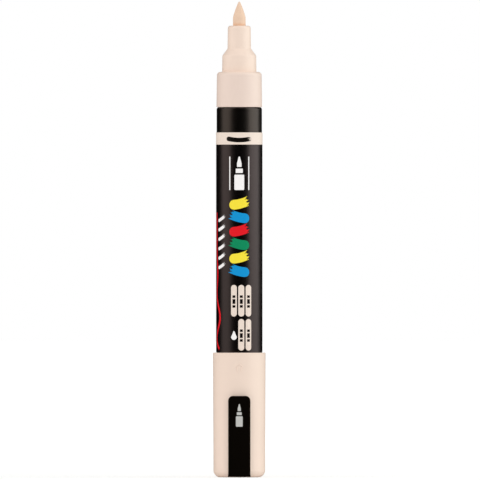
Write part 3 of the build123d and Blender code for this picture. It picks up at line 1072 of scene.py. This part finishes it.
class Print(bpy.types.Operator):
    """Print the label: the band, the sign, the brush strokes and the colour patches"""

    bl_idname = "marker.print_label"
    bl_label = "Print"

    palette = ("beige", "white", "red", "blue", "green", "yellow", "black")
    trail = ("blue", "yellow", "green", "red", "blue", "yellow")

    def execute(self, context):
        prints = context.scene.marker_print
        radius = widest("barrel_label")
        inks = {name: bmesh.new() for name in self.palette}
        self.draw_band(inks, prints)
        self.draw_sign(inks, prints)
        self.draw_trail(inks, prints)
        self.draw_dabs(inks, prints)
        self.draw_wave(inks, prints)
        self.draw_patches(inks, prints)
        for name, bm in inks.items():
            # Black lies on top of beige
            layers = 2 if name == "black" else 1
            wrap(bm, radius, prints.ink, layers * prints.ink)
            place_piece("print_" + name, bm, ink(name), "label_film", "barrel")
        return {"FINISHED"}

    def draw_band(self, inks, prints):
        """A beige band at the label's front edge, with a dark stroke on it."""
        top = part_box("barrel_label")[1].z
        bar(inks["beige"], -label_reach(), label_reach(), top - prints.band_height, top)
        middle = top - prints.band_height / 2
        reach = prints.mark_width / 2
        spine = slanted(-reach, middle, reach, middle)
        brush_stroke(inks["black"], spine, prints.mark_brush, prints.dry_end)

    def draw_sign(self, inks, prints):
        """A sign of a marker between two rules."""
        for side in (-1, 1):
            middle = side * prints.rule_gap / 2
            left, right = middle - prints.rule_width / 2, middle + prints.rule_width / 2
            bar(inks["white"], left, right, prints.rule_low, prints.rule_high)
        marker_sign(inks["white"], prints.rule_low, prints.rule_high, prints.sign_width)

    def draw_trail(self, inks, prints):
        """Slanted strokes that go to and fro up the barrel."""
        reach = prints.trail_width / 2
        for step, name in enumerate(self.trail):
            foot = prints.trail_low + step * prints.trail_step
            start, end = (-reach, reach) if step % 2 else (reach, -reach)
            spine = slanted(start, foot, end, foot + prints.trail_rise)
            brush_stroke(inks[name], spine, prints.trail_brush, prints.wet_end)

    def draw_dabs(self, inks, prints):
        """White dabs at the left edge."""
        for step in range(prints.dabs):
            foot = prints.dab_low + step * prints.dab_step
            spine = slanted(prints.dab_start, foot, prints.dab_end, foot + prints.dab_rise)
            brush_stroke(inks["white"], spine, prints.dab_brush, prints.dry_end)

    def draw_wave(self, inks, prints):
        """A red line that swings more and more on its way down."""

        def spine(along):
            stray = prints.wave_drift + prints.wave_swing * sin(prints.wave_turns * tau * along)
            height = prints.wave_high + (prints.wave_low - prints.wave_high) * along
            return (prints.wave_place + along * along * stray, height)

        brush_stroke(inks["red"], spine, prints.wave_brush, prints.wet_end)

    def draw_patches(self, inks, prints):
        """Two rows of colour patches, with a drop in the place that the lower row leaves."""
        for row, columns in ((0, (0, 1)), (1, (-1, 0, 1))):
            for column in columns:
                middle = prints.patch_middle + column * prints.patch_step
                foot = prints.patch_low + row * prints.patch_row
                pill(inks["beige"], middle, foot, foot + prints.patch_height, prints.patch_width)
                self.draw_dashes(inks["black"], middle, foot, prints)
        middle = prints.patch_middle - prints.patch_step
        top = prints.drop_low + prints.drop_height
        drop(inks["white"], middle, prints.drop_low, top, prints.drop_width)

    def draw_dashes(self, bm, middle, foot, prints):
        """A column of short dashes on a patch."""
        left, right = middle - prints.dash_width / 2, middle + prints.dash_width / 2
        for dash in DASHES:
            low, high = [foot + share * prints.patch_height for share in dash]
            bar(bm, left, right, low, high)


class NibHolder(bpy.types.Operator):
    """Make the stepped moulding that holds the nib and the valve"""

    bl_idname = "marker.make_nib_holder"
    bl_label = "Nib holder"

    def execute(self, context):
        holder = context.scene.marker_holder
        low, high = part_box("nib_holder")
        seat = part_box("barrel")[1].z
        collar = widest("nib_holder")
        collar_top = seat + holder.collar_height
        land_top = collar_top + holder.land_height
        nose_foot = land_top + holder.cone_height
        bore = widest("brush_nib") + holder.nib_fit
        chamber_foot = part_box("valve_seat")[1].z
        chamber_top = chamber_foot + holder.chamber_height
        chamber = holder.chamber_radius
        valve = widest("valve_cup") + holder.valve_fit
        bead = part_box("valve_cup")[0].z
        spigot = context.scene.marker_barrel.bore - context.scene.marker_barrel.fit
        bm = turned([
            (collar, seat, holder.collar_foot),
            (collar - holder.collar_draft, collar_top, holder.collar_rounding),
            (holder.land_radius, collar_top, holder.land_root),
            (holder.land_radius - holder.land_draft, land_top, holder.land_rounding),
            (holder.nose_radius, nose_foot, holder.cone_rounding),
            (holder.nose_radius - holder.nose_draft, high.z, holder.nose_rounding),
            (bore, high.z),
            (bore, chamber_top + chamber - bore),
            (chamber, chamber_top),
            (chamber, chamber_foot),
            (valve, chamber_foot),
            (valve, bead),
            (valve - holder.bead_depth, bead - holder.bead_depth),
            (valve, bead - holder.bead_depth - holder.bead_foot),
            (valve, low.z),
            (spigot, low.z, holder.spigot_rounding),
            (spigot, seat),
        ])
        add_fins(
            bm,
            holder.ribs,
            bore,
            chamber + holder.rib_depth,
            holder.rib_width,
            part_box("brush_nib")[0].z,
            chamber_top,
        )
        place_piece("holder_body", bm, beige_moulding(), "beige_plastic", "barrel", "nib_holder")
        return {"FINISHED"}


class Nib(bpy.types.Operator):
    """Make the soft bullet nib"""

    bl_idname = "marker.make_nib"
    bl_label = "Nib"

    def execute(self, context):
        nib = context.scene.marker_nib
        low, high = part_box("brush_nib")
        radius = widest("brush_nib")
        outwards = Vector((cos(nib.point_angle), 0, sin(nib.point_angle)))
        tip_centre = Vector((0, 0, high.z - nib.point))
        tip_start = tip_centre + nib.point * outwards
        shoulder = Vector((radius, 0, high.z - nib.taper))
        across = shoulder - tip_start
        side_radius = -across.length_squared / (2 * across.dot(outwards))
        bm = bmesh.new()
        outline(bm, [(0, low.z), (radius, low.z, nib.tail_rounding), (radius, shoulder.z)])
        start = max(bm.verts, key=lambda vert: vert.co.z)
        tip = draw_arc(bm, start, tip_start - side_radius * outwards, tip_start)
        draw_arc(bm, tip, tip_centre, Vector((0, 0, high.z)))
        turn(bm)
        place_piece("nib_bullet", bm, bonded_fibre(), "nib_fibre", "nib", "brush_nib")
        return {"FINISHED"}


class Valve(bpy.types.Operator):
    """Wind the valve's spring and finish the pieces round it"""

    bl_idname = "marker.make_valve"
    bl_label = "Valve"

    def execute(self, context):
        for node in ("valve_cup", "valve_plunger"):
            dress(node, natural_plastic())
        dress("valve_seat", valve_rubber())
        nib = context.scene.marker_nib
        low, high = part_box("valve_spring")
        coil = widest("valve_spring") - nib.wire / 2
        steps = COIL_STEPS * nib.turns
        bm = bmesh.new()
        disc(bm, coil, low.z + nib.wire / 2, nib.wire, WIRE_STEPS)
        bmesh.ops.spin(
            bm,
            geom=bm.verts[:] + bm.edges[:] + bm.faces[:],
            cent=(0, 0, 0),
            axis=(0, 0, 1),
            dvec=(0, 0, (high.z - low.z - nib.wire) / steps),
            angle=tau * nib.turns,
            steps=steps,
        )
        spring = place_piece("valve_coil", bm, drawn_steel(), "spring_steel", "barrel", "valve_spring")
        press = next(joint for joint in frame["joints"] if joint["name"] == "nib_press")
        foot = press["deforming_nodes"][0]["fixed_end_z_m"]
        keep = 1 - press["range_m"][1] / (high.z - foot)
        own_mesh(spring)
        return {"FINISHED"}


class MixingBall(bpy.types.Operator):
    """Make the loose ball that stirs the paint"""

    bl_idname = "marker.make_ball"
    bl_label = "Mixing ball"

    def execute(self, context):
        low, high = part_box("mixing_ball")
        centre = Vector((0, 0, (low.z + high.z) / 2))
        bm = bmesh.new()
        foot = bm.verts.new((0, 0, low.z))
        waist = draw_arc(bm, foot, centre, Vector((widest("mixing_ball"), 0, centre.z)))
        draw_arc(bm, waist, centre, Vector((0, 0, high.z)))
        turn(bm)
        place_piece("steel_ball", bm, polished_steel(), "ball_steel", "ball", "mixing_ball")
        return {"FINISHED"}


class Stage(bpy.types.Operator):
    """Set the floor, the light panels, the white surroundings and the camera"""

    bl_idname = "marker.set_stage"
    bl_label = "Stage"

    def execute(self, context):
        studio = context.scene.marker_studio
        self.lay_floor(studio)
        self.light_room(context.scene, studio)
        left = self.hang_panel("left_panel", -studio.left_angle, studio.left_width, studio)
        self.light_up(left, studio.left_light, LEFT_COLOUR)
        right = self.hang_panel("right_panel", studio.right_angle, studio.right_width, studio)
        self.light_up(right, studio.right_light, RIGHT_COLOUR)
        self.set_camera(context.scene, studio)
        context.scene.view_settings.view_transform = "Standard"
        return {"FINISHED"}

    def lay_floor(self, studio):
        """White paper that keeps the marker's shadow, and glows near the axis as a painted light on the
        cap's foot.
        """
        bm = bmesh.new()
        bmesh.ops.create_grid(bm, x_segments=1, y_segments=1, size=studio.floor_size / 2)
        material, nodes = blank_material("white_floor")
        place = nodes.place()
        distance = nodes.add("ShaderNodeVectorMath", {"operation": "LENGTH"}, {0: place}, "Value")
        far = nodes.between(distance, studio.far_start, studio.far_end)
        white = studio.floor_glow + studio.far_glow * far
        grain = nodes.noise(place, studio.paper_grain, 3.0)
        paper = nodes.blend(grain, grey(studio.paper_dark), grey(studio.paper_light))
        matte = nodes.add("ShaderNodeBsdfDiffuse", inputs={"Color": paper})
        # Near the axis the floor also glows for diffuse rays, a painted light that brightens the cap's
        # foot though the floor is no lamp
        foot = studio.foot_glow * (1 - nodes.between(distance, studio.foot_start, studio.foot_end))
        strength = white * nodes.ray("Camera") + foot * nodes.ray("Diffuse")
        glow = nodes.add("ShaderNodeEmission", inputs={"Color": WHITE, "Strength": strength})
        surface = nodes.add("ShaderNodeAddShader", inputs={0: matte, 1: glow})
        nodes.add("ShaderNodeOutputMaterial", inputs={"Surface": surface})
        floor = link_shape("floor", bm, material)
        floor.visible_glossy = False

    def light_room(self, scene, studio):
        """White for the camera, an even light on the marker, and a white card behind it to reflect."""
        world = bpy.data.worlds.new("white_room")
        world.use_nodes = True
        world.cycles.sampling_method = "NONE"
        scene.world = world
        nodes = Nodes(world.node_tree)
        towards = nodes.add("ShaderNodeTexCoord", output="Generated")
        card = nodes.between(nodes.axis(towards, "Y"), cos(studio.card_edge), cos(studio.card_core))
        reflected = nodes.ray("Glossy") + nodes.ray("Transmission")
        lean = studio.room_lean * nodes.axis(towards, "Y") + studio.room_tilt * nodes.axis(towards, "X")
        room = studio.room_light - lean
        strength = nodes.ray("Camera") + card * reflected + room * nodes.ray("Diffuse")
        light = nodes.add("ShaderNodeBackground", inputs={"Color": WHITE, "Strength": strength})
        nodes.add("ShaderNodeOutputWorld", inputs={"Surface": light})

    def light_up(self, lamp, brightness, colour):
        """Sets a lamp to shine as brightly from each part of it as a white wall in full light."""
        lamp.energy = pi * lamp.size * lamp.size_y * brightness
        lamp.color = colour

    def hang_panel(self, name, turned_by, width, studio):
        """Hangs a light panel that faces the axis, and returns its lamp."""
        lamp = bpy.data.lights.new(name, "AREA")
        lamp.shape = "RECTANGLE"
        lamp.size = width
        lamp.size_y = studio.panel_height
        panel = bpy.data.objects.new(name, lamp)
        panel.location = (
            studio.panel_distance * sin(turned_by),
            -studio.panel_distance * cos(turned_by),
            studio.panel_height / 2,
        )
        panel.rotation_euler = (pi / 2, 0, turned_by)
        panel.visible_camera = False
        bpy.context.scene.collection.objects.link(panel)
        return lamp

    def set_camera(self, scene, studio):
        """A far camera with a long lens, level with the middle of the picture."""
        camera = bpy.data.cameras.new("camera")
        camera.sensor_width = SENSOR_WIDTH
        camera.lens = SENSOR_WIDTH * studio.camera_distance / studio.view_height
        camera.clip_end = studio.camera_sight
        stand = bpy.data.objects.new("camera", camera)
        stand.location = (studio.view_side, -studio.camera_distance, studio.view_middle)
        stand.rotation_euler = (pi / 2, 0, 0)
        scene.collection.objects.link(stand)
        scene.camera = stand


class MarkerPanel(bpy.types.Panel):
    """Lists what makes the marker, in order"""

    bl_idname = "VIEW3D_PT_paint_marker"
    bl_label = "Paint Marker"
    bl_space_type = "VIEW_3D"
    bl_region_type = "UI"
    bl_category = "Paint Marker"

    def draw(self, context):
        for maker in MAKERS:
            self.layout.operator(maker.bl_idname)


SETTINGS = {
    "marker_cap": CapSizes,
    "marker_barrel": BarrelSizes,
    "marker_holder": HolderSizes,
    "marker_nib": NibSizes,
    "marker_print": PrintSizes,
    "marker_colours": MarkerColours,
    "marker_studio": StudioSettings,
}
MAKERS = (Cap, SealingCup, Clip, Barrel, TailPlug, Label, Print, NibHolder, Nib, Valve, MixingBall, Stage)


def register():
    for group in SETTINGS.values():
        bpy.utils.register_class(group)
    for name, group in SETTINGS.items():
        setattr(bpy.types.Scene, name, PointerProperty(type=group))
    for maker in MAKERS:
        bpy.utils.register_class(maker)
    bpy.utils.register_class(MarkerPanel)


def unregister():
    bpy.utils.unregister_class(MarkerPanel)
    for maker in reversed(MAKERS):
        bpy.utils.unregister_class(maker)
    for name in SETTINGS:
        delattr(bpy.types.Scene, name)
    for group in reversed(SETTINGS.values()):
        bpy.utils.unregister_class(group)


def main():
    register()
    for maker in MAKERS:
        group, name = maker.bl_idname.split(".")
        getattr(getattr(bpy.ops, group), name)()


if __name__ == "__main__":
    main()
